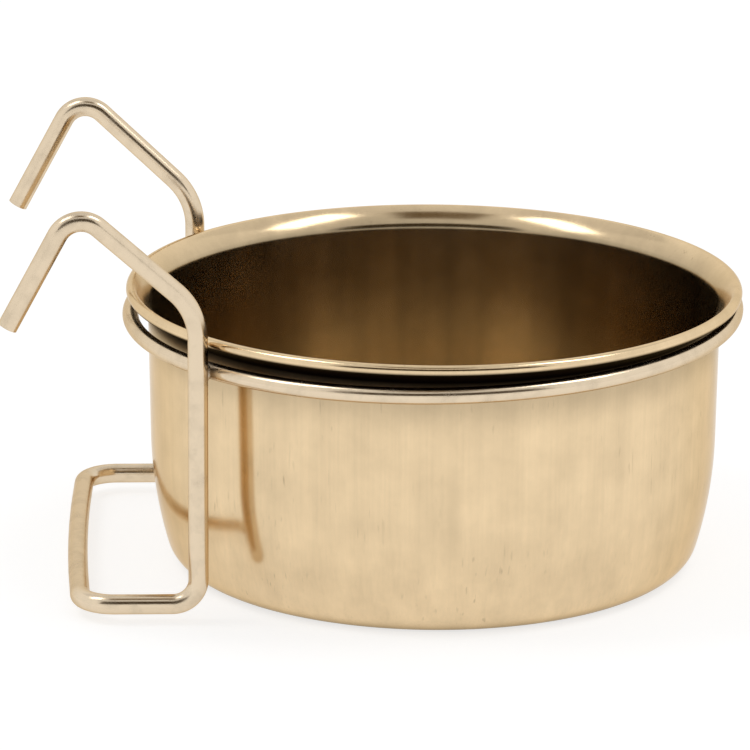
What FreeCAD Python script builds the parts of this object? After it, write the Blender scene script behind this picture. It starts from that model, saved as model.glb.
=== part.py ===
"""Hook-on feed cup: a drawn stainless cup that drops into a welded wire holder.

Millimetres. The origin is on the cup's axis, on the plane of its base. +Z is up, +X points
away from the hooks, and the two hooks stand side by side along Y. The cup stands on its base
and the holder hangs slack round it.
"""
import FreeCAD, Part
import math
import os

# ---- cup: one sheet of stainless, drawn deep, with a curled lip ----
rim_diameter = 122.0        # over the curled lip
cup_height = 56.5           # base plane to the top of the lip
sheet = 0.6                 # thickness of the drawn sheet
lip_overhang = 4.3          # the lip stands out past the top of the wall by this much
curl_diameter = 2.2         # outside of the curl
curl_slit = 0.2             # between the end of the curl and the flare
flare_angle = 45.0          # of the flare under the lip, from level
neck_radius = 2.0           # outside blend from the wall into the flare
wall_taper = 1.0            # degrees that the wall leans in towards the base
barrel_start = 25.8         # height below which the wall rounds in
barrel_radius = 83.0        # of that long curve, on the outside
corner_radius = 6.0         # of the curve from there into the flat base, on the outside

# ---- support ring: round wire, bent to a hoop and butt welded ----
ring_wire = 3.2             # diameter of the wire
ring_reach = 0.5            # the ring stands out past the lip by this much
ring_slack = 1.5            # from the underside of the lip down to the ring, at the middle
ring_pitch = 0.92           # degrees that the side away from the hooks tips up
ring_roll = 0.6             # degrees that the front weld's side tips down
ring_offset = 0.25          # from the cup's axis to the ring's centre, towards the hooks

# ---- hanger: one wire, bent from hook tip to hook tip ----
hanger_wire = 3.9           # diameter of the wire
leg_spacing = 85.6          # between the centres of the two legs
hook_splay = 3.2            # each hook stands this much wider than its leg
tip_rise = 4.0              # from the top of the cup up to the cut end of the hook
apex_rise = 27.65           # up to the top corner of the hook
shoulder_rise = 6.1         # up to the corner between the slant and the leg
loop_lift = 1.85            # from the base plane up to the underside of the stand-off loop
tip_reach = 36.2            # from the leg's line out to the tip
apex_reach = 23.5           # from the leg's line out to the top corner
loop_reach = 22.75          # from the leg's line out to the cross bar
bar_bow = 1.6               # the middle of the cross bar stands out by this much
apex_radius = 5.0           # bends, on the wire's centre line
shoulder_radius = 13.0
leg_foot_radius = 5.0
bar_corner_radius = 6.8
bar_bow_radius = 800.0

# ---- resistance welds where the legs cross the ring ----
weld_width = 2.6            # of the nugget, across the touch point
weld_height = 3.8           # along the leg
weld_tip = 0.9              # each end tapers over this height
weld_tip_width = 1.0

curl_radius = curl_diameter / 2
curl_centre = FreeCAD.Vector(rim_diameter / 2 - curl_radius, 0, cup_height - curl_radius)
ring_radius = rim_diameter / 2 + ring_reach - ring_wire / 2
ring_centre = FreeCAD.Vector(
    -ring_offset, 0, cup_height - curl_diameter - ring_slack - ring_wire / 2
)
up = FreeCAD.Vector(0, 0, 1)


def line(start, end):
    return Part.LineSegment(start, end).toShape()


def on_circle(centre, radius, degrees):
    """A point on a circle in the XZ plane, measured from +X towards +Z."""
    angle = math.radians(degrees)
    return centre + FreeCAD.Vector(radius * math.cos(angle), 0, radius * math.sin(angle))


def arc(centre, radius, start_degrees, end_degrees):
    """An arc in the XZ plane, from one angle to the other."""
    middle_degrees = (start_degrees + end_degrees) / 2
    return Part.Arc(
        on_circle(centre, radius, start_degrees),
        on_circle(centre, radius, middle_degrees),
        on_circle(centre, radius, end_degrees),
    ).toShape()


def cup_skin(depth, curl_end):
    """Edges of the cup's section from its axis to the end of the curl.

    Depth 0 is the outside skin, and depth sheet the inside. Every bend keeps one centre
    through the sheet, so the two skins stay parallel.
    """
    taper = math.radians(wall_taper)
    flare = math.radians(flare_angle)
    flare_normal = 90 + flare_angle

    # neck: the wall's line and the underside of the flare meet here
    under_curl = on_circle(curl_centre, curl_radius - sheet, flare_normal)
    neck_x = rim_diameter / 2 - lip_overhang
    neck = FreeCAD.Vector(neck_x, 0, under_curl.z - (under_curl.x - neck_x) * math.tan(flare))
    wall_up = FreeCAD.Vector(math.sin(taper), 0, math.cos(taper))
    wall_out = FreeCAD.Vector(math.cos(taper), 0, -math.sin(taper))
    blend_turn = math.radians(90 - flare_angle) - taper
    neck_centre = neck - wall_up * (neck_radius * math.tan(blend_turn / 2)) + wall_out * neck_radius

    # barrel: a long curve that leaves the wall's line at barrel_start
    wall_foot = neck - wall_up * ((neck.z - barrel_start) / wall_up.z)
    barrel_centre = wall_foot - wall_out * barrel_radius
    corner_turn = math.asin((corner_radius - barrel_centre.z) / (barrel_radius - corner_radius))
    corner_degrees = math.degrees(corner_turn)
    corner_centre = on_circle(barrel_centre, barrel_radius - corner_radius, corner_degrees)

    inset = wall_out * depth
    return [
        line(FreeCAD.Vector(0, 0, depth), FreeCAD.Vector(corner_centre.x, 0, depth)),
        arc(corner_centre, corner_radius - depth, -90, corner_degrees),
        arc(barrel_centre, barrel_radius - depth, corner_degrees, -wall_taper),
        line(wall_foot - inset, on_circle(neck_centre, neck_radius + depth, 180 - wall_taper)),
        arc(neck_centre, neck_radius + depth, 180 - wall_taper, flare_normal),
        line(
            on_circle(neck_centre, neck_radius + depth, flare_normal),
            on_circle(curl_centre, curl_radius - sheet + depth, flare_normal),
        ),
        arc(curl_centre, curl_radius - sheet + depth, flare_normal, curl_end),
    ]


def make_cup():
    # the curl turns on past the flare until its end is one slit away from it
    wrap = math.degrees(math.acos((curl_radius - sheet - curl_slit) / curl_radius))
    curl_end = 90 + flare_angle + wrap - 360
    cut_end = line(
        on_circle(curl_centre, curl_radius - sheet, curl_end),
        on_circle(curl_centre, curl_radius, curl_end),
    )
    axis = line(FreeCAD.Vector(0, 0, 0), FreeCAD.Vector(0, 0, sheet))
    edges = cup_skin(0, curl_end) + [cut_end] + cup_skin(sheet, curl_end) + [axis]
    section = Part.Face(Part.Wire(Part.__sortEdges__(edges)))
    return section.revolve(FreeCAD.Vector(0, 0, 0), up, 360)


def rounded_path(start, corners, end):
    """A wire along straight runs, with a tangent arc at each (corner, radius)."""
    points = [start] + [corner for corner, radius in corners] + [end]
    edges = []
    run_start = start
    for index, (corner, radius) in enumerate(corners):
        back = (points[index] - corner).normalize()
        onward = (points[index + 2] - corner).normalize()
        half_angle = back.getAngle(onward) / 2
        setback = radius / math.tan(half_angle)
        inward = (back + onward).normalize()
        bend_middle = corner + inward * (radius / math.sin(half_angle) - radius)
        bend = Part.Arc(corner + back * setback, bend_middle, corner + onward * setback)
        edges.append(line(run_start, corner + back * setback))
        edges.append(bend.toShape())
        run_start = corner + onward * setback
    edges.append(line(run_start, end))
    return Part.Wire(edges)


def leg_line():
    """X of both legs: they touch the outside of the ring."""
    leg_reach = ring_radius + ring_wire / 2 + hanger_wire / 2
    return ring_centre.x - math.sqrt(leg_reach ** 2 - (leg_spacing / 2) ** 2)


def make_hanger():
    leg_x = leg_line()
    loop_z = loop_lift + hanger_wire / 2

    def one_side(side):
        """Tip and corners of one hook and its leg; side is -1 or 1 along Y."""
        leg_y = side * leg_spacing / 2
        hook_y = leg_y + side * hook_splay
        tip = FreeCAD.Vector(leg_x - tip_reach, hook_y, cup_height + tip_rise)
        apex = FreeCAD.Vector(leg_x - apex_reach, hook_y, cup_height + apex_rise)
        shoulder = FreeCAD.Vector(leg_x, leg_y, cup_height + shoulder_rise)
        foot = FreeCAD.Vector(leg_x, leg_y, loop_z)
        bar_corner = FreeCAD.Vector(leg_x - loop_reach, leg_y, loop_z)
        corners = [
            (apex, apex_radius), (shoulder, shoulder_radius),
            (foot, leg_foot_radius), (bar_corner, bar_corner_radius),
        ]
        return tip, corners

    front_tip, front_corners = one_side(-1)
    rear_tip, rear_corners = one_side(1)
    bar_middle = FreeCAD.Vector(leg_x - loop_reach - bar_bow, 0, loop_z)
    bow = [(bar_middle, bar_bow_radius)]
    path = rounded_path(front_tip, front_corners + bow + rear_corners[::-1], rear_tip)

    along = (front_corners[0][0] - front_tip).normalize()
    round_end = Part.Wire(Part.makeCircle(hanger_wire / 2, front_tip, along))
    return path.makePipeShell([round_end], True, False)


def make_ring():
    ring = Part.makeTorus(ring_radius, ring_wire / 2, ring_centre)
    ring.rotate(ring_centre, FreeCAD.Vector(0, 1, 0), -ring_pitch)
    ring.rotate(ring_centre, FreeCAD.Vector(1, 0, 0), ring_roll)
    return ring


def make_weld(side):
    """Nugget where one leg touches the ring: a barrel that stands along the leg."""
    to_leg = FreeCAD.Vector(leg_line() - ring_centre.x, side * leg_spacing / 2, 0).normalize()
    tilt = to_leg.x * math.sin(math.radians(ring_pitch))
    tilt += to_leg.y * math.sin(math.radians(ring_roll))
    touch = ring_centre + to_leg * (ring_radius + ring_wire / 2) + up * (ring_radius * tilt)
    tip = FreeCAD.Vector(weld_tip_width / 2, 0, weld_height / 2)
    shoulder = FreeCAD.Vector(weld_width / 2, 0, weld_height / 2 - weld_tip)
    outline = [
        FreeCAD.Vector(0, 0, tip.z), tip, shoulder,
        FreeCAD.Vector(shoulder.x, 0, -shoulder.z), FreeCAD.Vector(tip.x, 0, -tip.z),
        FreeCAD.Vector(0, 0, -tip.z),
    ]
    half_section = Part.makePolygon(outline + outline[:1])
    nugget = Part.Face(half_section).revolve(FreeCAD.Vector(0, 0, 0), up, 360)
    nugget.translate(touch)
    return nugget


# the two wires lose what each nugget fuses
front_weld = make_weld(-1)
rear_weld = make_weld(1)
nodes = {
    "cup": make_cup(),
    "hanger_wire": make_hanger().cut([front_weld, rear_weld]),
    "support_ring": make_ring().cut([front_weld, rear_weld]),
    "front_weld": front_weld,
    "rear_weld": rear_weld,
}

os.makedirs("parts", exist_ok=True)
for name, shape in nodes.items():
    shape.exportStep("parts/" + name + ".step")
    box = shape.BoundBox
    print(
        name, shape.ShapeType, len(shape.Solids), "valid", shape.isValid(),
        "volume %.1f" % shape.Volume,
        "x %.2f %.2f y %.2f %.2f z %.2f %.2f" % (
            box.XMin, box.XMax, box.YMin, box.YMax, box.ZMin, box.ZMax
        ),
    )
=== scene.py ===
import math

import bpy
from mathutils import Matrix, Vector, noise


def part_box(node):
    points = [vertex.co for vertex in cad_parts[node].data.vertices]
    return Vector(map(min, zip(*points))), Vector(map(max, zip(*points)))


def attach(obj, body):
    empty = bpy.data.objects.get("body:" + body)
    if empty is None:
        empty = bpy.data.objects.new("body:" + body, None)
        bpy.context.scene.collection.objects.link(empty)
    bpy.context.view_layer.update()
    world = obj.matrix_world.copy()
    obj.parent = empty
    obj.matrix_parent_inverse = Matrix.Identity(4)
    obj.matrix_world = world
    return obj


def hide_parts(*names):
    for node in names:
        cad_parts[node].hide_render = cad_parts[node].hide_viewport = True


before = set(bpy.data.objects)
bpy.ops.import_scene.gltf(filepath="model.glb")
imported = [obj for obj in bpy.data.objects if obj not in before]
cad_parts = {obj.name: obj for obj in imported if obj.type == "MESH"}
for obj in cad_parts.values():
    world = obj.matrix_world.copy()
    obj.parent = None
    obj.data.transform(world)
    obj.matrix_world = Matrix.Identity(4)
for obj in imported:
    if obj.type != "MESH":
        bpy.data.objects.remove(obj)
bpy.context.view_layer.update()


# ---- camera: a long lens, a little above the cup and in line with the hooks' side ----
# It stands 1.2 m away and looks down at 16 degrees, with the hooks to its left.
mm = 0.001
camera_turn = math.radians(2.11)
camera_tilt = math.radians(16.31)
camera_roll = math.radians(0.31)
camera_reach = 1188.5 * mm
lip_centre_right = 11.71 * mm      # of the middle of the view, at the lip
lip_centre_above = 17.51 * mm

lip_centre = Vector((0, 0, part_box("cup")[1].z - 1.1 * mm))
ahead = Vector((
    math.sin(camera_turn) * math.cos(camera_tilt),
    math.cos(camera_turn) * math.cos(camera_tilt),
    -math.sin(camera_tilt),
))
level_right = Vector((math.cos(camera_turn), -math.sin(camera_turn), 0))
level_up = level_right.cross(ahead)
right = math.cos(camera_roll) * level_right + math.sin(camera_roll) * level_up
above = math.cos(camera_roll) * level_up - math.sin(camera_roll) * level_right

lens = bpy.data.cameras.new("camera")
lens.lens = 288                    # millimetres, over a 36 mm wide sensor
lens.sensor_width = 36
lens.clip_start = 0.1
lens.clip_end = 20
camera = bpy.data.objects.new("camera", lens)
camera.matrix_world = Matrix.Translation(
    lip_centre - right * lip_centre_right - above * lip_centre_above - ahead * camera_reach
) @ Matrix((right, above, -ahead)).transposed().to_4x4()
bpy.context.scene.collection.objects.link(camera)
bpy.context.scene.camera = camera


# ---- cup ----
# A blank of 0.6 mm stainless sheet, drawn deep in one piece, its flared lip rolled outwards
# and over into a bead. The wall keeps the fine upright lines of drawing and polishing, and
# the cup only stands in the holder: nothing fixes it there.
cup_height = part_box("cup")[1].z
rim_radius = 61.0 * mm
sheet = 0.6 * mm
lip_overhang = 4.3 * mm
bead_radius = 1.1 * mm
bead_slit = 0.2 * mm
flare_angle = 45.0
flare_bow = 11.0                  # degrees by which the flare turns outwards on the way up
neck_radius = 2.0 * mm
wall_taper = 1.0
barrel_start = 25.8 * mm
barrel_radius = 83.0 * mm
corner_radius = 6.0 * mm
wall_ripple = 0.05 * mm
cup_sides = 320
shade_depth = 6.7 * mm                  # below the lip's top, where the painted shade under the bead starts outside
shade_fade = 0.8 * mm
base_shade_height = 2.8 * mm                   # the base's edge gets painted shade up to here
base_shade_strength = 0.75
inside_on_flare = 0.4                     # share of the inside's painted-shade tone where the flare begins

outside_steel = (0.76, 0.585, 0.365, 1)
# the same steel inside, painted darker and browner as its shade and dark reflections
shaded_inside_steel = (0.60, 0.47, 0.29, 1)
edge_on_steel = (0.80, 0.71, 0.58, 1)
# near black, the colour of the painted shade under the bead and round the base
painted_shade_colour = (0.005, 0.0022, 0.0012, 1)
under_ring_shade_band = (41.0 * mm, 49.0 * mm)      # heights on the wall that get painted shade below the ring
under_ring_shade_depth = 0.30
darker_up = (18.0 * mm, 52.0 * mm)        # heights over which the inside gets darker upwards, painted shade
darker_up_by = 0.50
mid_grain = 0.52                          # mean height of the brushed grain
column_contrast = 3.2                     # painted reflections: broad upright light and dark columns inside
streak_contrast = 0.28                    # fine upright streaks outside
cup_relief = 4e-6                         # metres


def place(tree, kind, sockets=None, **settings):
    """Adds a node, sets it up, and gives its inputs their values or links."""
    made = tree.nodes.new(kind)
    for key, value in settings.items():
        setattr(made, key, value)
    for key, value in (sockets or {}).items():
        if isinstance(value, bpy.types.NodeSocket):
            tree.links.new(value, made.inputs[key])
        else:
            made.inputs[key].default_value = value
    return made


def calc(tree, operation, first, second=0.0, third=0.0, clamp=False):
    """The result of one sum."""
    sockets = {0: first, 1: second, 2: third}
    return place(tree, "ShaderNodeMath", sockets, operation=operation, use_clamp=clamp).outputs[0]


def new_tree(name, kind, inputs, outputs):
    """A node tree with named inputs and outputs: {name: (socket type, default or None)}."""
    tree = bpy.data.node_groups.new(name, kind)
    for label, (socket_type, value) in inputs.items():
        socket = tree.interface.new_socket(label, in_out="INPUT", socket_type=socket_type)
        if value is not None:
            socket.default_value = value
    for label, socket_type in outputs.items():
        tree.interface.new_socket(label, in_out="OUTPUT", socket_type=socket_type)
    return tree, tree.nodes.new("NodeGroupInput").outputs, tree.nodes.new("NodeGroupOutput").inputs


def made_by(tree, name, outline, sizes):
    """The plain mesh that a geometry tree makes from an outline mesh and these sizes."""
    piece = bpy.data.objects.new(name, outline)
    bpy.context.scene.collection.objects.link(piece)
    modifier = piece.modifiers.new(tree.name, "NODES")
    modifier.node_group = tree
    for item in tree.interface.items_tree:
        if item.in_out == "INPUT" and item.name in sizes:
            modifier[item.identifier] = sizes[item.name]
    shown = piece.evaluated_get(bpy.context.evaluated_depsgraph_get())
    mesh = bpy.data.meshes.new_from_object(shown)
    piece.modifiers.remove(modifier)
    piece.data = mesh
    mesh.name = name
    return piece


def brushed_grain():
    """Height of fine lines that run along Z of the given vector, broken by soft clouds."""
    tree, given, out = new_tree(
        "Brushed grain", "ShaderNodeTree",
        {
            "Vector": ("NodeSocketVector", None),
            "Lines per metre": ("NodeSocketFloat", 1500.0),
            "Line stretch": ("NodeSocketFloat", 0.03),
            "Cloud size": ("NodeSocketFloat", 90.0),
        },
        {"Height": "NodeSocketFloat", "Clouds": "NodeSocketFloat"},
    )
    squeeze = place(tree, "ShaderNodeCombineXYZ", {
        "X": given["Lines per metre"],
        "Y": given["Lines per metre"],
        "Z": calc(tree, "MULTIPLY", given["Lines per metre"], given["Line stretch"]),
    })
    stretched = place(tree, "ShaderNodeVectorMath", {
        0: given["Vector"], 1: squeeze.outputs[0],
    }, operation="MULTIPLY")
    fine = place(tree, "ShaderNodeTexNoise", {
        "Vector": stretched.outputs[0], "Scale": 1.0, "Detail": 3.0, "Roughness": 0.6,
    })
    broad = place(tree, "ShaderNodeTexNoise", {
        "Vector": stretched.outputs[0], "Scale": 0.16, "Detail": 2.0, "Roughness": 0.5,
    })
    clouds = place(tree, "ShaderNodeTexNoise", {
        "Vector": given["Vector"], "Scale": given["Cloud size"], "Detail": 4.0,
        "Roughness": 0.55,
    })
    lines = calc(tree, "MULTIPLY_ADD", broad.outputs[0], 1.6, fine.outputs[0])
    tree.links.new(calc(tree, "MULTIPLY", lines, 0.4), out["Height"])
    tree.links.new(clouds.outputs[0], out["Clouds"])
    return tree


def hairline_scratches():
    """Mask of short upright nicks and slanting scratches, in patches."""
    tree, given, out = new_tree(
        "Hairline scratches", "ShaderNodeTree",
        {
            "Vector": ("NodeSocketVector", None),
            "Fineness": ("NodeSocketFloat", 900.0),
            "Amount": ("NodeSocketFloat", 0.3),
        },
        {"Mask": "NodeSocketFloat"},
    )
    strokes = []
    for turn, stretch in (((0.1, 0.05, 0.5), 0.22), ((0.5, -0.3, 0.9), 0.12)):
        turned = place(tree, "ShaderNodeMapping", {
            "Vector": given["Vector"], "Rotation": turn, "Scale": (1.0, 1.0, stretch),
        })
        line = place(tree, "ShaderNodeTexNoise", {
            "Vector": turned.outputs[0], "Scale": given["Fineness"], "Detail": 1.0,
        })
        strokes.append(place(tree, "ShaderNodeMapRange", {
            "Value": line.outputs[0], "From Min": 0.69, "From Max": 0.78,
        }).outputs[0])
    patches = place(tree, "ShaderNodeTexNoise", {
        "Vector": given["Vector"], "Scale": 70.0, "Detail": 2.0,
    })
    handled = place(tree, "ShaderNodeMapRange", {
        "Value": patches.outputs[0],
        "From Min": calc(tree, "SUBTRACT", 0.8, given["Amount"]), "From Max": 0.85,
    })
    both = calc(tree, "MAXIMUM", strokes[0], strokes[1])
    tree.links.new(calc(tree, "MULTIPLY", both, handled.outputs[0]), out["Mask"])
    return tree


grain_group = brushed_grain()
scratch_group = hairline_scratches()


def new_finish(name, colour, roughness):
    """A metal material and its tree, shader, and object coordinates."""
    finish = bpy.data.materials.new(name)
    finish.use_nodes = True
    finish.diffuse_color = colour
    tree = finish.node_tree
    shader = tree.nodes["Principled BSDF"]
    shader.inputs["Metallic"].default_value = 1.0
    shader.inputs["Base Color"].default_value = colour
    shader.inputs["Roughness"].default_value = roughness
    spot = tree.nodes.new("ShaderNodeTexCoord").outputs["Object"]
    return finish, tree, shader, spot


def cup_finish():
    """Drawn and polished sheet: warm outside, darker inside as painted shade, with upright lines.
    """
    finish, tree, shader, spot = new_finish("cup_steel", outside_steel, 0.14)
    grain = place(tree, "ShaderNodeGroup", {
        "Vector": spot, "Lines per metre": 1400.0, "Line stretch": 0.02, "Cloud size": 120.0,
    }, node_tree=grain_group)
    scratches = place(tree, "ShaderNodeGroup", {
        "Vector": spot, "Fineness": 1100.0, "Amount": 0.35,
    }, node_tree=scratch_group)
    inside = place(tree, "ShaderNodeAttribute", attribute_name="inside")
    outside = calc(tree, "SUBTRACT", 1.0, inside.outputs["Fac"])
    specks = calc(tree, "MULTIPLY", scratches.outputs["Mask"], outside)
    # painted reflection: noise for the broad upright columns inside
    column_noise = place(tree, "ShaderNodeGroup", {
        "Vector": spot, "Lines per metre": 75.0, "Line stretch": 0.06, "Cloud size": 30.0,
    }, node_tree=grain_group)
    painted_shade = place(tree, "ShaderNodeAttribute", attribute_name="painted_shade").outputs["Fac"]
    # the inside and the flare's lower part take the painted-shade tone
    steel = place(tree, "ShaderNodeMix", {
        "Factor": inside.outputs["Fac"], 6: outside_steel, 7: shaded_inside_steel,
    }, data_type="RGBA")
    height = place(tree, "ShaderNodeSeparateXYZ", {0: spot}).outputs[2]
    # painted shade on the outer wall below the ring, stopping just under the neck
    under_ring_shade = place(tree, "ShaderNodeMapRange", {
        "Value": height, "From Min": under_ring_shade_band[0], "From Max": under_ring_shade_band[1],
        "To Min": 0.0, "To Max": under_ring_shade_depth,
    }, interpolation_type="SMOOTHSTEP").outputs[0]
    under_ring_shade = calc(tree, "MULTIPLY", under_ring_shade, outside)
    below_neck = calc(tree, "LESS_THAN", height, under_ring_shade_band[1] + 3.0 * mm)
    under_ring_shade = calc(tree, "MULTIPLY", under_ring_shade, below_neck)
    cloud_shade = place(tree, "ShaderNodeMapRange", {
        "Value": grain.outputs["Clouds"], "From Min": 0.3, "From Max": 0.7,
        "To Min": 0.91, "To Max": 1.05,
    })
    shade = calc(tree, "MULTIPLY_ADD", specks, -0.35, cloud_shade.outputs[0])
    shade = calc(tree, "MULTIPLY", shade, calc(tree, "SUBTRACT", 1.0, under_ring_shade))
    column_share = calc(tree, "MULTIPLY", inside.outputs["Fac"], column_contrast)
    columns = calc(tree, "SUBTRACT", column_noise.outputs["Height"], mid_grain)
    columns = calc(tree, "MULTIPLY", columns, column_share)
    streak_share = calc(tree, "MULTIPLY", outside, streak_contrast)
    streaks = calc(tree, "SUBTRACT", grain.outputs["Height"], mid_grain)
    streaks = calc(tree, "MULTIPLY_ADD", streaks, streak_share, columns)
    # painted shade: the inside darkens towards the lip
    upper = place(tree, "ShaderNodeMapRange", {
        "Value": height, "From Min": darker_up[0], "From Max": darker_up[1],
        "To Min": 0.0, "To Max": darker_up_by,
    }).outputs[0]
    upper = calc(tree, "MULTIPLY", upper, inside.outputs["Fac"])
    shade = calc(tree, "MULTIPLY", shade, calc(tree, "ADD", streaks, 1.0))
    shade = calc(tree, "MULTIPLY", shade, calc(tree, "SUBTRACT", 1.0, upper))
    coloured = place(tree, "ShaderNodeVectorMath", {
        0: steel.outputs[2], "Scale": shade,
    }, operation="SCALE")
    # painted shade: the colour is mixed towards near black under the bead, behind the ring and
    # round the base
    shaded_colour = place(tree, "ShaderNodeMix", {
        "Factor": painted_shade, 6: coloured.outputs[0], 7: painted_shade_colour,
    }, data_type="RGBA").outputs[2]
    tree.links.new(shaded_colour, shader.inputs["Base Color"])
    shader.inputs["Specular Tint"].default_value = edge_on_steel
    gloss = calc(tree, "MULTIPLY_ADD", grain.outputs["Clouds"], 0.10, 0.10)
    gloss = calc(tree, "MULTIPLY_ADD", inside.outputs["Fac"], 0.08, gloss)
    gloss = calc(tree, "MULTIPLY_ADD", specks, 0.2, gloss)
    gloss = calc(tree, "MULTIPLY_ADD", painted_shade, 0.35, gloss)
    tree.links.new(gloss, shader.inputs["Roughness"])
    relief = calc(tree, "MULTIPLY_ADD", specks, -0.10, grain.outputs["Height"])
    bump = place(tree, "ShaderNodeBump", {
        "Height": relief, "Strength": 1.0, "Distance": cup_relief,
    })
    tree.links.new(bump.outputs[0], shader.inputs["Normal"])
    return finish


def on_circle(centre, radius, degrees):
    """A point in the section, as distance from the axis and height."""
    angle = math.radians(degrees)
    return centre + Vector((radius * math.cos(angle), radius * math.sin(angle)))


def cup_skin(depth, bead_end):
    """(point, inside, ripple, painted shade) along one skin, from the axis to the bead's end."""
    taper = math.radians(wall_taper)
    flare = math.radians(flare_angle)
    flare_normal = 90 + flare_angle
    bead_centre = Vector((rim_radius - bead_radius, cup_height - bead_radius))
    under_bead = on_circle(bead_centre, bead_radius - sheet, flare_normal)
    neck_x = rim_radius - lip_overhang
    neck = Vector((neck_x, under_bead.y - (under_bead.x - neck_x) * math.tan(flare)))
    wall_up = Vector((math.sin(taper), math.cos(taper)))
    wall_out = Vector((math.cos(taper), -math.sin(taper)))
    neck_turn = math.radians(90 - flare_angle) - taper
    neck_centre = neck - wall_up * (neck_radius * math.tan(neck_turn / 2)) + wall_out * neck_radius
    wall_foot = neck - wall_up * ((neck.y - barrel_start) / wall_up.y)
    barrel_centre = wall_foot - wall_out * barrel_radius
    corner_degrees = math.degrees(
        math.asin((corner_radius - barrel_centre.y) / (barrel_radius - corner_radius)))
    corner_centre = on_circle(barrel_centre, barrel_radius - corner_radius, corner_degrees)

    skin = []
    inner = 1.0 if depth else 0.0

    def painted_shade_at(point, turn=90.0):
        """How dark the painted shade lies: under the bead, behind the ring, and round the base."""
        if depth:
            amount = (-8.0 - turn) / 30.0      # from 8 degrees past level, full 30 degrees on
        else:
            amount = (point.y - cup_height + shade_depth) / shade_fade
            # painted shade: the reflected contact shadow at the base's edge, strongest at the
            # bottom
            base_shade = base_shade_strength * min(point.x / corner_centre.x, 1.0) ** 20
            low_down = max(base_shade_height - point.y, 0.0) / base_shade_height
            amount = max(amount, base_shade * low_down ** 2)
        return min(max(amount, 0.0), 1.0)

    def add_run(start, end, count, inside, ripple, bow=0.0):
        """A straight or slightly bowed run, without its last point."""
        across = Vector((start.y - end.y, end.x - start.x)) * bow
        for step in range(count):
            part_way = step / count
            point = start.lerp(end, part_way) + across * part_way * (1 - part_way)
            depth_in = inside[0] + (inside[1] - inside[0]) * part_way
            skin.append((point, depth_in, ripple, painted_shade_at(point)))

    def add_arc(centre, radius, first, last, count, inside, ripple):
        """An arc without its last point, except at the bead's free end."""
        for step in range(count + (last == bead_end)):
            part_way = step / count
            turn = first + (last - first) * part_way
            point = on_circle(centre, radius, turn)
            skin.append((
                point,
                inside[0] + (inside[1] - inside[0]) * part_way,
                ripple[0] + (ripple[1] - ripple[0]) * part_way,
                painted_shade_at(point, turn if last == bead_end else 90.0),
            ))

    inset = wall_out * depth
    add_run(Vector((0, depth)), Vector((corner_centre.x, depth)), 12, (inner, inner), 0.0)
    add_arc(corner_centre, corner_radius - depth, -90, corner_degrees, 12, (inner, inner), (0, 0))
    add_arc(barrel_centre, barrel_radius - depth, corner_degrees, -wall_taper, 26,
            (inner, inner), (0, 1))
    add_run(wall_foot - inset, on_circle(neck_centre, neck_radius + depth, 180 - wall_taper),
            14, (inner, inner), 1.0)
    neck_end = flare_normal + flare_bow
    bead_turn = flare_normal - flare_bow
    add_arc(neck_centre, neck_radius + depth, 180 - wall_taper, neck_end, 10,
            (inner, inner * inside_on_flare), (1, 0))
    add_run(on_circle(neck_centre, neck_radius + depth, neck_end),
            on_circle(bead_centre, bead_radius - sheet + depth, bead_turn), 14,
            (inner * inside_on_flare, 0.0), 0.0, math.tan(math.radians(flare_bow)))
    add_arc(bead_centre, bead_radius - sheet + depth, bead_turn, bead_end, 32,
            (0, 0), (0, 0))
    return skin


def cup_section():
    """The sheet's whole section as a chain of vertices with their values."""
    wrap = math.degrees(math.acos((bead_radius - sheet - bead_slit) / bead_radius))
    bead_end = 90 + flare_angle + wrap - 360
    chain = cup_skin(0.0, bead_end) + cup_skin(sheet, bead_end)[::-1]
    outline = bpy.data.meshes.new("cup section")
    outline.from_pydata(
        [(row[0].x, 0, row[0].y) for row in chain],
        [(index, index + 1) for index in range(len(chain) - 1)], [])
    # the section's values: inside share, ripple share and painted shade mask
    for label, column in (("inside", 1), ("ripple", 2), ("painted_shade", 3)):
        values = outline.attributes.new(label, "FLOAT", "POINT")
        for index, row in enumerate(chain):
            values.data[index].value = row[column]
    return outline


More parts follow.
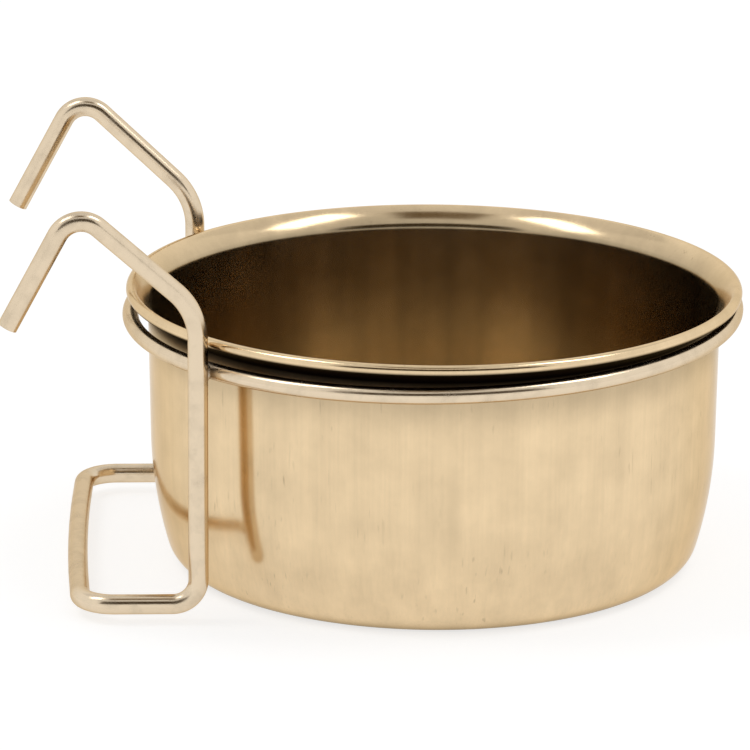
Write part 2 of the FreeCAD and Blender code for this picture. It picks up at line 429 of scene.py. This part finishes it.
def turned_sheet(finish):
    """Geometry tree that turns a section about Z into a closed, smooth shell."""
    tree, given, out = new_tree(
        "Turned sheet", "GeometryNodeTree",
        {
            "Section": ("NodeSocketGeometry", None),
            "Sides": ("NodeSocketInt", 64),
            "Ripple": ("NodeSocketFloat", 0.0),
            "Ripple seed": ("NodeSocketFloat", 3.0),
        },
        {"Geometry": "NodeSocketGeometry"},
    )
    rows = place(tree, "GeometryNodeAttributeDomainSize", {0: given["Section"]},
                 component="MESH").outputs["Point Count"]
    grid = place(tree, "GeometryNodeMeshGrid", {
        "Size X": 1.0, "Size Y": 1.0,
        "Vertices X": calc(tree, "ADD", given["Sides"], 1.0), "Vertices Y": rows,
    })
    spot = place(tree, "GeometryNodeInputPosition").outputs[0]
    share = place(tree, "ShaderNodeSeparateXYZ", {0: spot}).outputs
    angle = calc(tree, "MULTIPLY", calc(tree, "ADD", share[0], 0.5), math.tau)
    last_row = calc(tree, "SUBTRACT", rows, 1.0)
    row = calc(tree, "MULTIPLY", calc(tree, "ADD", share[1], 0.5), last_row)
    row = calc(tree, "ROUND", row)

    def from_section(value, data_type):
        return place(tree, "GeometryNodeSampleIndex", {
            "Geometry": given["Section"], "Value": value, "Index": row,
        }, data_type=data_type, domain="POINT").outputs[0]

    def section_value(label):
        return place(tree, "GeometryNodeInputNamedAttribute", {"Name": label},
                     data_type="FLOAT").outputs[0]

    ripple = from_section(section_value("ripple"), "FLOAT")
    marked = grid.outputs["Mesh"]
    # the inside share and the painted shade mask go onto the shell
    for label in ("inside", "painted_shade"):
        marked = place(tree, "GeometryNodeStoreNamedAttribute", {
            "Geometry": marked, "Name": label,
            "Value": from_section(section_value(label), "FLOAT"),
        }, data_type="FLOAT", domain="POINT").outputs[0]
    turned = place(tree, "ShaderNodeVectorRotate", {
        "Vector": from_section(spot, "FLOAT_VECTOR"), "Angle": angle,
    }, rotation_type="Z_AXIS").outputs[0]
    waves = place(tree, "ShaderNodeTexNoise", {
        "Vector": turned, "W": given["Ripple seed"], "Scale": 42.0, "Detail": 1.0,
    }, noise_dimensions="4D").outputs[0]
    push = calc(tree, "MULTIPLY", calc(tree, "SUBTRACT", waves, 0.5), given["Ripple"])
    outward = place(tree, "ShaderNodeVectorMath", {
        0: place(tree, "ShaderNodeVectorMath", {0: turned, 1: (1.0, 1.0, 0.0)},
                 operation="MULTIPLY").outputs[0],
    }, operation="NORMALIZE").outputs[0]
    pushed = place(tree, "ShaderNodeVectorMath", {
        0: outward, "Scale": calc(tree, "MULTIPLY", push, ripple),
    }, operation="SCALE").outputs[0]
    placed = place(tree, "GeometryNodeSetPosition", {
        "Geometry": marked, "Position": turned, "Offset": pushed,
    }).outputs[0]
    closed = place(tree, "GeometryNodeMergeByDistance", {
        "Geometry": placed, "Distance": 0.002 * mm,
    }).outputs[0]
    smooth = place(tree, "GeometryNodeSetShadeSmooth", {"Geometry": closed}).outputs[0]
    steep = place(tree, "GeometryNodeInputMeshEdgeAngle").outputs[0]
    creased = place(tree, "GeometryNodeSetShadeSmooth", {
        "Geometry": smooth, "Selection": calc(tree, "GREATER_THAN", steep, 0.9),
        "Shade Smooth": False,
    }, domain="EDGE").outputs[0]
    dressed = place(tree, "GeometryNodeSetMaterial", {
        "Geometry": creased, "Material": finish,
    }).outputs[0]
    real = place(tree, "GeometryNodeRealizeInstances", {0: dressed}).outputs[0]
    tree.links.new(real, out[0])
    return tree


cup = made_by(turned_sheet(cup_finish()), "feed_cup", cup_section(), {
    "Sides": cup_sides, "Ripple": wall_ripple, "Ripple seed": 3.0,
})
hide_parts("cup")
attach(cup, "cup")


# ---- support ring ----
# A hoop of round stainless wire under the cup's lip, bent from one length and butt welded.
# It is brighter and greyer than the cup, with draw lines along the wire and dull scuffs.
ring_wire = 3.2 * mm
ring_radius = 59.9 * mm
ring_pitch = math.radians(0.92)
ring_roll = math.radians(0.6)
ring_centre = Vector((-0.25, 0, 51.2)) * mm
ring_steps = 360
wire_facets = 36
weld_tint_and_shade_strength = 0.35
wire_relief = 2e-6                 # metres
weld_points = [
    (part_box("front_weld")[0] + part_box("front_weld")[1]) / 2,
    (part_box("rear_weld")[0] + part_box("rear_weld")[1]) / 2,
]
wire_steel = (0.735, 0.605, 0.44, 1)
edge_on_wire = (0.74, 0.63, 0.48, 1)
heat_stain = (0.20, 0.14, 0.09, 1)


def wire_finish():
    """Drawn wire: lines along it, dull scuffs, and beside each weld a brown darkening that is
    partly heat stain and partly painted shade in the crook.
    """
    finish, tree, shader, spot = new_finish("wire_steel", wire_steel, 0.2)
    lay = place(tree, "ShaderNodeAttribute", attribute_name="lay").outputs["Vector"]
    grain = place(tree, "ShaderNodeGroup", {
        "Vector": lay, "Lines per metre": 2600.0, "Line stretch": 1.0, "Cloud size": 700.0,
    }, node_tree=grain_group)
    scratches = place(tree, "ShaderNodeGroup", {
        "Vector": spot, "Fineness": 1300.0, "Amount": 0.25,
    }, node_tree=scratch_group)
    scuffs = place(tree, "ShaderNodeTexNoise", {
        "Vector": spot, "Scale": 230.0, "Detail": 3.0, "Roughness": 0.6,
    }).outputs[0]
    dull = place(tree, "ShaderNodeMapRange", {
        "Value": scuffs, "From Min": 0.45, "From Max": 0.75,
    }).outputs[0]
    nearness = []
    for point in weld_points:
        reach = place(tree, "ShaderNodeVectorMath", {0: spot, 1: point}, operation="DISTANCE")
        nearness.append(reach.outputs["Value"])
    reach = calc(tree, "MINIMUM", nearness[0], nearness[1])
    # heat stain and painted shade in the crook, fading out between 1.8 and 3.2 mm from each weld
    weld_tint_and_shade = place(tree, "ShaderNodeMapRange", {
        "Value": reach, "From Min": 1.8 * mm, "From Max": 3.2 * mm, "To Min": 1.0, "To Max": 0.0,
    }).outputs[0]
    shade = calc(tree, "MULTIPLY_ADD", dull, -0.14, 1.03)
    shade = calc(tree, "MULTIPLY_ADD", scratches.outputs["Mask"], -0.06, shade)
    bright = place(tree, "ShaderNodeVectorMath", {0: wire_steel[:3], "Scale": shade},
                   operation="SCALE").outputs[0]
    coloured = place(tree, "ShaderNodeMix", {
        "Factor": calc(tree, "MULTIPLY", weld_tint_and_shade, weld_tint_and_shade_strength), 6: bright, 7: heat_stain,
    }, data_type="RGBA").outputs[2]
    tree.links.new(coloured, shader.inputs["Base Color"])
    shader.inputs["Specular Tint"].default_value = edge_on_wire
    gloss = calc(tree, "MULTIPLY_ADD", dull, 0.10, 0.17)
    gloss = calc(tree, "MULTIPLY_ADD", grain.outputs["Clouds"], 0.06, gloss)
    gloss = calc(tree, "MULTIPLY_ADD", weld_tint_and_shade, 0.2, gloss)
    tree.links.new(gloss, shader.inputs["Roughness"])
    bump = place(tree, "ShaderNodeBump", {
        "Height": grain.outputs["Height"], "Strength": 1.0, "Distance": wire_relief,
    })
    tree.links.new(bump.outputs[0], shader.inputs["Normal"])
    return finish


def swept_wire():
    """Geometry group that gives a line its round wire, and stores how the wire lies."""
    tree, given, out = new_tree(
        "Swept wire", "GeometryNodeTree",
        {
            "Line": ("NodeSocketGeometry", None),
            "Wire diameter": ("NodeSocketFloat", 0.003),
            "Facets": ("NodeSocketInt", 32),
            "Material": ("NodeSocketMaterial", None),
        },
        {"Geometry": "NodeSocketGeometry"},
    )
    hoop = place(tree, "GeometryNodeCurvePrimitiveCircle", {
        "Resolution": given["Facets"],
        "Radius": calc(tree, "MULTIPLY", given["Wire diameter"], 0.5),
    }).outputs[0]
    spot = place(tree, "GeometryNodeInputPosition").outputs[0]
    section = tree.nodes.new("GeometryNodeCaptureAttribute")
    section.capture_items.new("VECTOR", "Section spot")
    tree.links.new(hoop, section.inputs["Geometry"])
    tree.links.new(spot, section.inputs[1])
    swept = place(tree, "GeometryNodeCurveToMesh", {
        "Curve": given["Line"], "Profile Curve": section.outputs[0], "Fill Caps": True,
    }).outputs[0]
    drift = place(tree, "ShaderNodeVectorMath", {0: spot, "Scale": 0.03},
                  operation="SCALE").outputs[0]
    lay = place(tree, "ShaderNodeVectorMath", {0: section.outputs[1], 1: drift},
                operation="ADD").outputs[0]
    marked = place(tree, "GeometryNodeStoreNamedAttribute", {
        "Geometry": swept, "Name": "lay", "Value": lay,
    }, data_type="FLOAT_VECTOR", domain="POINT").outputs[0]
    smooth = place(tree, "GeometryNodeSetShadeSmooth", {"Geometry": marked}).outputs[0]
    steep = place(tree, "GeometryNodeInputMeshEdgeAngle").outputs[0]
    creased = place(tree, "GeometryNodeSetShadeSmooth", {
        "Geometry": smooth, "Selection": calc(tree, "GREATER_THAN", steep, 0.6),
        "Shade Smooth": False,
    }, domain="EDGE").outputs[0]
    dressed = place(tree, "GeometryNodeSetMaterial", {
        "Geometry": creased, "Material": given["Material"],
    }).outputs[0]
    tree.links.new(dressed, out[0])
    return tree


def hoop_of_wire(sweep, finish):
    """Geometry tree of one closed hoop, tipped about X and Y and set at its centre."""
    tree, given, out = new_tree(
        "Hoop of wire", "GeometryNodeTree",
        {
            "Geometry": ("NodeSocketGeometry", None),
            "Hoop radius": ("NodeSocketFloat", 0.06),
            "Wire diameter": ("NodeSocketFloat", 0.003),
            "Steps": ("NodeSocketInt", 180),
            "Tip": ("NodeSocketVector", None),
            "Centre": ("NodeSocketVector", None),
        },
        {"Geometry": "NodeSocketGeometry"},
    )
    line = place(tree, "GeometryNodeCurvePrimitiveCircle", {
        "Resolution": given["Steps"], "Radius": given["Hoop radius"],
    }).outputs[0]
    wire = place(tree, "GeometryNodeGroup", {
        "Line": line, "Wire diameter": given["Wire diameter"], "Facets": wire_facets,
        "Material": finish,
    }, node_tree=sweep).outputs[0]
    set_down = place(tree, "GeometryNodeTransform", {
        "Geometry": wire, "Translation": given["Centre"], "Rotation": given["Tip"],
    }).outputs[0]
    real = place(tree, "GeometryNodeRealizeInstances", {0: set_down}).outputs[0]
    tree.links.new(real, out[0])
    return tree


wire_sweep = swept_wire()
wire_material = wire_finish()
ring = made_by(hoop_of_wire(wire_sweep, wire_material), "support_hoop",
               bpy.data.meshes.new("hoop"), {
                   "Hoop radius": ring_radius, "Wire diameter": ring_wire, "Steps": ring_steps,
                   "Tip": (ring_roll, -ring_pitch, 0.0), "Centre": ring_centre,
               })
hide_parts("support_ring")
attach(ring, "holder")


# ---- hanger wire ----
# One length of thicker stainless wire, bent in a jig: a hook for the cage bar at each end,
# two legs that pass outside the ring, and a loop at the foot that stands off the cage.
# Its ends are cropped square, with a slight burr.
hanger_wire = 3.9 * mm
leg_spacing = 85.6 * mm
hook_splay = 3.2 * mm
loop_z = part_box("hanger_wire")[0].z + hanger_wire / 2
leg_reach = ring_radius + ring_wire / 2 + hanger_wire / 2
leg_x = ring_centre.x - math.sqrt(leg_reach ** 2 - (leg_spacing / 2) ** 2)
hook_corners = [                     # reach from the leg's line, splay, height, bend radius
    (-36.2 * mm, hook_splay, cup_height + 4.0 * mm, 0.0),
    (-23.5 * mm, hook_splay, cup_height + 27.65 * mm, 5.0 * mm),
    (0.0, 0.0, cup_height + 6.1 * mm, 13.0 * mm),
    (0.0, 0.0, loop_z, 5.0 * mm),
    (-22.75 * mm, 0.0, loop_z, 6.8 * mm),
]
bar_bow = 1.6 * mm
bar_bow_radius = 800.0 * mm
cropped_share = 0.0004             # of the wire's length, at each end
cropped_width = 0.9


def hanger_line():
    """The bends of the wire from the front hook's tip to the rear one's."""
    front = [
        (Vector((leg_x + reach, -leg_spacing / 2 - splay, height)), bend)
        for reach, splay, height, bend in hook_corners
    ]
    rear = [(Vector((point.x, -point.y, point.z)), bend) for point, bend in front[::-1]]
    bow = [(Vector((front[-1][0].x - bar_bow, 0, loop_z)), bar_bow_radius)]
    stops = front + bow + rear
    outline = bpy.data.meshes.new("hanger line")
    outline.from_pydata([point for point, bend in stops],
                        [(index, index + 1) for index in range(len(stops) - 1)], [])
    bends = outline.attributes.new("bend", "FLOAT", "POINT")
    for index, (point, bend) in enumerate(stops):
        bends.data[index].value = bend
    return outline


def bent_wire(sweep, finish):
    """Geometry tree that rounds a line's corners and runs the wire along it."""
    tree, given, out = new_tree(
        "Bent wire", "GeometryNodeTree",
        {
            "Corners": ("NodeSocketGeometry", None),
            "Wire diameter": ("NodeSocketFloat", 0.003),
            "Step": ("NodeSocketFloat", 0.0005),
            "Cropped end": ("NodeSocketFloat", 0.9),
        },
        {"Geometry": "NodeSocketGeometry"},
    )
    line = place(tree, "GeometryNodeMeshToCurve", {0: given["Corners"]}).outputs[0]
    bend = place(tree, "GeometryNodeInputNamedAttribute", {"Name": "bend"},
                 data_type="FLOAT").outputs[0]
    rounded = place(tree, "GeometryNodeFilletCurve", {
        "Curve": line, "Radius": bend, "Count": 24,
    }, mode="POLY").outputs[0]
    even = place(tree, "GeometryNodeResampleCurve", {
        "Curve": rounded, "Length": given["Step"],
    }, mode="LENGTH").outputs[0]
    along = place(tree, "GeometryNodeSplineParameter").outputs["Factor"]
    from_end = calc(tree, "MINIMUM", along, calc(tree, "SUBTRACT", 1.0, along))
    cropped = calc(tree, "LESS_THAN", from_end, cropped_share)
    thin = calc(tree, "MULTIPLY", cropped, calc(tree, "SUBTRACT", 1.0, given["Cropped end"]))
    tapered = place(tree, "GeometryNodeSetCurveRadius", {
        "Curve": even, "Radius": calc(tree, "SUBTRACT", 1.0, thin),
    }).outputs[0]
    wire = place(tree, "GeometryNodeGroup", {
        "Line": tapered, "Wire diameter": given["Wire diameter"], "Facets": wire_facets,
        "Material": finish,
    }, node_tree=sweep).outputs[0]
    real = place(tree, "GeometryNodeRealizeInstances", {0: wire}).outputs[0]
    tree.links.new(real, out[0])
    return tree


hanger = made_by(bent_wire(wire_sweep, wire_material), "hanger", hanger_line(), {
    "Wire diameter": hanger_wire, "Step": 0.4 * mm, "Cropped end": cropped_width,
})
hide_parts("hanger_wire")
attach(hanger, "holder")


# ---- resistance welds ----
# Where each leg crosses the ring the two wires were pressed together and fused. What shows
# is a small upright nugget in the crook between them, stained by the heat.
weld_metal = (0.68, 0.59, 0.47, 1)
nugget_rings = 18
nugget_sides = 28
weld_relief = 0.12 * mm


def weld_finish():
    """Fused steel: rough, mottled, straw and brown."""
    finish, tree, shader, spot = new_finish("weld_metal", weld_metal, 0.4)
    lumps = place(tree, "ShaderNodeTexNoise", {
        "Vector": spot, "Scale": 1900.0, "Detail": 4.0, "Roughness": 0.65,
    }).outputs[0]
    colours = place(tree, "ShaderNodeValToRGB", {"Fac": lumps})
    colours.color_ramp.elements[0].position = 0.28
    colours.color_ramp.elements[0].color = heat_stain
    colours.color_ramp.elements[1].position = 0.50
    colours.color_ramp.elements[1].color = weld_metal
    tree.links.new(colours.outputs[0], shader.inputs["Base Color"])
    tree.links.new(calc(tree, "MULTIPLY_ADD", lumps, 0.4, 0.2), shader.inputs["Roughness"])
    bump = place(tree, "ShaderNodeBump", {
        "Height": lumps, "Strength": 1.0, "Distance": weld_relief,
    })
    tree.links.new(bump.outputs[0], shader.inputs["Normal"])
    return finish


def weld_nugget(name, node, finish, seed):
    """A closed, slightly lumpy lens that fills the weld's place in the frame."""
    low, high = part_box(node)
    middle = (low + high) / 2
    half = (high - low) / 2
    ball = [Vector((0, 0, 1)), Vector((0, 0, -1))]
    for row in range(1, nugget_rings):
        down = math.pi * row / nugget_rings
        for side in range(nugget_sides):
            turn = math.tau * side / nugget_sides
            ball.append(Vector((
                math.sin(down) * math.cos(turn), math.sin(down) * math.sin(turn), math.cos(down),
            )))

    def at(row, side):
        return 2 + (row - 1) * nugget_sides + side % nugget_sides

    faces = []
    for side in range(nugget_sides):
        faces.append((0, at(1, side), at(1, side + 1)))
        faces.append((1, at(nugget_rings - 1, side + 1), at(nugget_rings - 1, side)))
        for row in range(1, nugget_rings - 1):
            faces.append((
                at(row, side), at(row + 1, side), at(row + 1, side + 1), at(row, side + 1),
            ))
    points = []
    for spot in ball:
        lump = noise.noise(spot * 2.2 + Vector((seed, 0, 0)))
        slim = 1 - 0.12 * abs(spot.z) ** 3
        slimmed = Vector((spot.x * slim * half.x, spot.y * slim * half.y, spot.z * half.z))
        points.append(middle + slimmed * (0.94 + 0.06 * lump))
    mesh = bpy.data.meshes.new(name)
    mesh.from_pydata(points, [], faces)
    mesh.shade_smooth()
    mesh.materials.append(finish)
    nugget = bpy.data.objects.new(name, mesh)
    bpy.context.scene.collection.objects.link(nugget)
    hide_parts(node)
    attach(nugget, "holder")


weld_material = weld_finish()
weld_nugget("front_nugget", "front_weld", weld_material, 4.0)
weld_nugget("rear_nugget", "rear_weld", weld_material, 9.0)


# ---- table and lights ----
# A white table in an even white room, two long lamps overhead with a dimmer ceiling
# around them, and dark cloths over the middle and behind the camera, whose reflections
# give the polished steel its shape.
table_glow = 0.70
ceiling_glow = 0.80
middle_glow = 0.18
behind_glow = 0.07
brown = (1.0, 0.74, 0.45, 1)
lamp_radiance = 4.2
lamp_height = 1.0
room_glow = 0.6                    # for rays that light; those that show the room get 1


def stage_material(name, strength, seen=("Is Camera Ray", "Is Glossy Ray", "Is Transmission Ray"),
                   white=0.0, tint=(1, 1, 1, 1)):
    """Diffuse white paint plus a plain glow for the rays that show the background."""
    paint = bpy.data.materials.new(name)
    paint.use_nodes = True
    tree = paint.node_tree
    tree.nodes.remove(tree.nodes["Principled BSDF"])
    path = tree.nodes.new("ShaderNodeLightPath")
    rays = path.outputs[seen[0]]
    for kind in seen[1:]:
        rays = calc(tree, "MAXIMUM", rays, path.outputs[kind])
    glow = place(tree, "ShaderNodeEmission", {
        "Color": tint, "Strength": calc(tree, "MULTIPLY", rays, strength),
    })
    matt = place(tree, "ShaderNodeBsdfDiffuse", {"Color": (white, white, white, 1)})
    both = place(tree, "ShaderNodeAddShader", {0: glow.outputs[0], 1: matt.outputs[0]})
    tree.links.new(both.outputs[0], tree.nodes["Material Output"].inputs["Surface"])
    return paint


def panel(name, centre, across, along, paint):
    """A flat stage card given by its centre and two half edges."""
    corners = [centre - across - along, centre + across - along,
               centre + across + along, centre - across + along]
    mesh = bpy.data.meshes.new(name)
    mesh.from_pydata(corners, [], [(0, 1, 2, 3)])
    mesh.materials.append(paint)
    card = bpy.data.objects.new(name, mesh)
    bpy.context.scene.collection.objects.link(card)
    return card


def cloth(name, centre, across, along, strength, tint=(1, 1, 1, 1)):
    """A card that shows only in reflections: it neither blocks a view nor casts a shadow."""
    card = panel(name, Vector(centre), Vector(across), Vector(along),
                 stage_material(name, strength, ("Is Glossy Ray",), tint=tint))
    card.visible_camera = False
    card.visible_diffuse = False
    card.visible_transmission = False
    card.visible_shadow = False


panel("table", Vector((0, 0, 0)), Vector((4, 0, 0)), Vector((0, 4, 0)),
      stage_material("table_white", table_glow, white=0.45))
cloth("ceiling", (0, 0, 1.3), (1.1, 0, 0), (0, 1.1, 0), ceiling_glow)
cloth("middle", (-0.04, -0.30, 1.1), (0.21, 0, 0), (0, 0.19, 0), middle_glow, brown)
cloth("behind_camera", (0, -1.8, 1.35), (1.5, 0, 0), (0, 0, 0.8), behind_glow, brown)

for side, reach in ((-1, 0.60), (1, 0.54)):
    lamp = bpy.data.lights.new("softbox", "AREA")
    lamp.shape = "RECTANGLE"
    lamp.size = 0.26
    lamp.size_y = 0.42
    lamp.energy = lamp_radiance * math.pi * lamp.size * lamp.size_y
    softbox = bpy.data.objects.new("softbox", lamp)
    softbox.location = (side * reach, -0.07, lamp_height)
    aim = Vector((0, 0, 0.04)) - softbox.location
    softbox.rotation_euler = aim.to_track_quat("-Z", "Y").to_euler()
    bpy.context.scene.collection.objects.link(softbox)

room = bpy.data.worlds.new("room")
bpy.context.scene.world = room
room.use_nodes = True
room_tree = room.node_tree
room_path = room_tree.nodes.new("ShaderNodeLightPath")
shown = calc(room_tree, "MAXIMUM", room_path.outputs["Is Camera Ray"],
             room_path.outputs["Is Glossy Ray"])
shown = calc(room_tree, "MAXIMUM", shown, room_path.outputs["Is Transmission Ray"])
room_light = calc(room_tree, "MULTIPLY_ADD", shown, 1.0 - room_glow, room_glow)
room_tree.nodes["Background"].inputs["Color"].default_value = (1, 1, 1, 1)
room_tree.links.new(room_light, room_tree.nodes["Background"].inputs["Strength"])

bpy.context.scene.view_settings.view_transform = "Standard"
